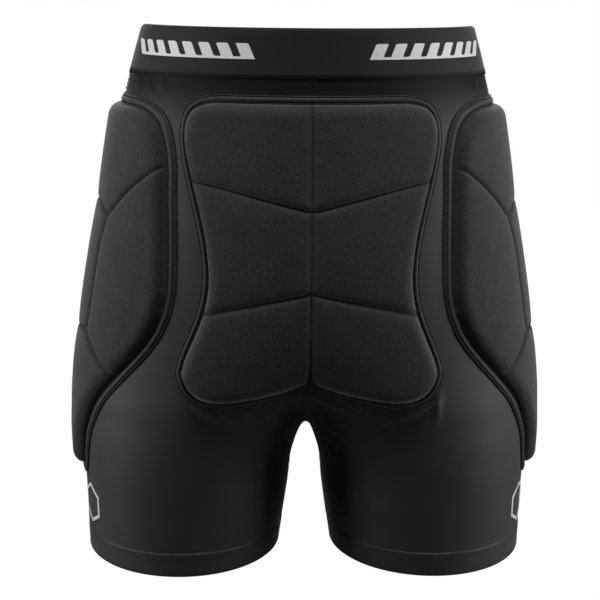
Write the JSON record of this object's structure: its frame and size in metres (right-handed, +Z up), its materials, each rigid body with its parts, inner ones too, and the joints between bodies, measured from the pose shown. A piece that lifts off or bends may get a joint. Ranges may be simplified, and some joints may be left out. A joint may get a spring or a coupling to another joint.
{
  "type": "padded impact shorts",
  "caption": "Close-fitting knitted shorts with a quilted seat pad and quilted hip pads, each bound with tape, for falls on snow.",
  "frame": {"origin": "the middle of the shorts' box, on the plane of the two leg hems", "axes": "+Z up to the waist, the back of the shorts faces -Y, the wearer's right is +X"},
  "size_m": [0.39, 0.2324, 0.43],
  "materials": {
    "body_jersey": "smooth black stretch knit with a faint sheen",
    "band_knit": "matt black waistband knit",
    "pad_knit": "fine-textured black knit laminated over foam",
    "binding_tape": "black folded tape, sewn with two rows of stitches",
    "impact_foam": "dark grey closed-cell foam",
    "elastic": "woven elastic",
    "white_print": "white printed film",
    "label_satin": "blank satin label"
  },
  "bodies": {
    "root": {"waistband_casing": "band_knit", "waistband_elastic": "elastic", "back_panel_left": "body_jersey", "back_panel_right": "body_jersey", "front_panel_left": "body_jersey", "front_panel_right": "body_jersey", "crotch_gusset": "body_jersey", "left_leg_hem": "body_jersey", "right_leg_hem": "body_jersey", "seat_pad_cover": "pad_knit", "seat_pad_binding": "binding_tape", "seat_foam_upper_left": "impact_foam", "seat_foam_upper_right": "impact_foam", "seat_foam_middle_left": "impact_foam", "seat_foam_middle_right": "impact_foam", "seat_foam_lower_left": "impact_foam", "seat_foam_lower_right": "impact_foam", "left_hip_pad_cover": "pad_knit", "left_hip_pad_binding": "binding_tape", "left_hip_foam_top": "impact_foam", "left_hip_foam_rear": "impact_foam", "left_hip_foam_centre": "impact_foam", "left_hip_foam_front": "impact_foam", "left_hip_foam_bottom": "impact_foam", "waistband_print_left": "white_print", "leg_print_left": "white_print", "right_hip_pad_cover": "pad_knit", "right_hip_pad_binding": "binding_tape", "right_hip_foam_top": "impact_foam", "right_hip_foam_rear": "impact_foam", "right_hip_foam_centre": "impact_foam", "right_hip_foam_front": "impact_foam", "right_hip_foam_bottom": "impact_foam", "waistband_print_right": "white_print", "leg_print_right": "white_print", "care_label": "label_satin"}
  },
  "joints": []
}
